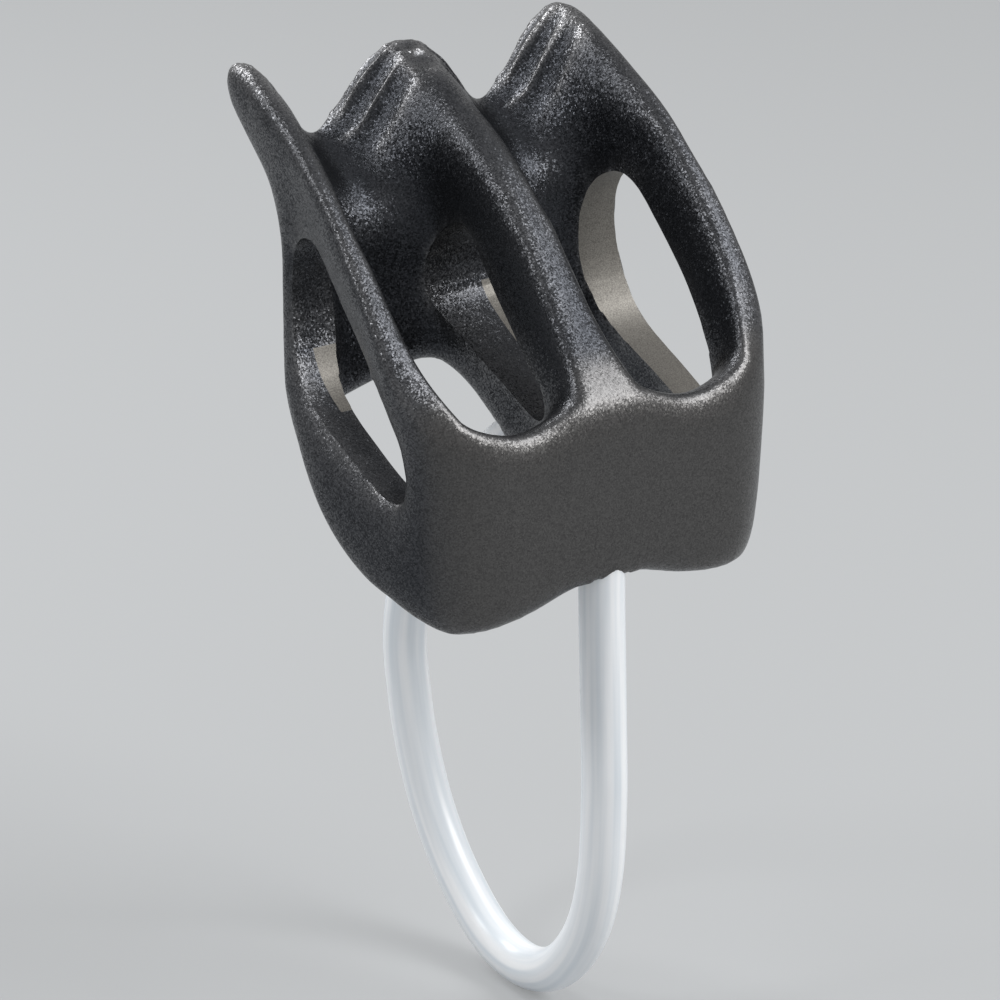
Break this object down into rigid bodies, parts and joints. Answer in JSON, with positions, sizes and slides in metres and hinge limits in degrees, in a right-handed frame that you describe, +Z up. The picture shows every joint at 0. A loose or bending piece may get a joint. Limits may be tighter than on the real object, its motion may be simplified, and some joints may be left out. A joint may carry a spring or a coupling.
{
  "type": "tube belay device",
  "caption": "Forged two-slot tube belay device with windowed webs, fluted brake notches and a sleeved steel keeper loop below.",
  "frame": {"origin": "midway between the two rope slots, in the middle of their length, at the height of the front lip; the rope through the slots holds the device there", "axes": "+Z up through the slots, with the keeper loop hanging down; +Y from the front wall to the horns; +X across the slots"},
  "size_m": [0.052, 0.0471, 0.113],
  "materials": {
    "anodised_aluminium": "bead-blasted, black anodised",
    "white_plastic": "glossy, slightly translucent",
    "cable_steel": "galvanised strand",
    "swaged_steel": "swaged"
  },
  "bodies": {
    "device_body": {"body": "anodised_aluminium", "ferrule_front": "swaged_steel", "ferrule_rear": "swaged_steel"},
    "keeper_loop": {"loop_sleeve": "white_plastic", "loop_cable": "cable_steel"}
  },
  "joints": [
    {"name": "loop_flex", "type": "hinge", "parent": "device_body", "child": "keeper_loop", "pos_m": [0, -0.0155, -0.0198], "axis": [0, 0.8315, 0.5556], "range_deg": [-12, 12], "stiffness_Nm_per_rad": 0.8}
  ]
}
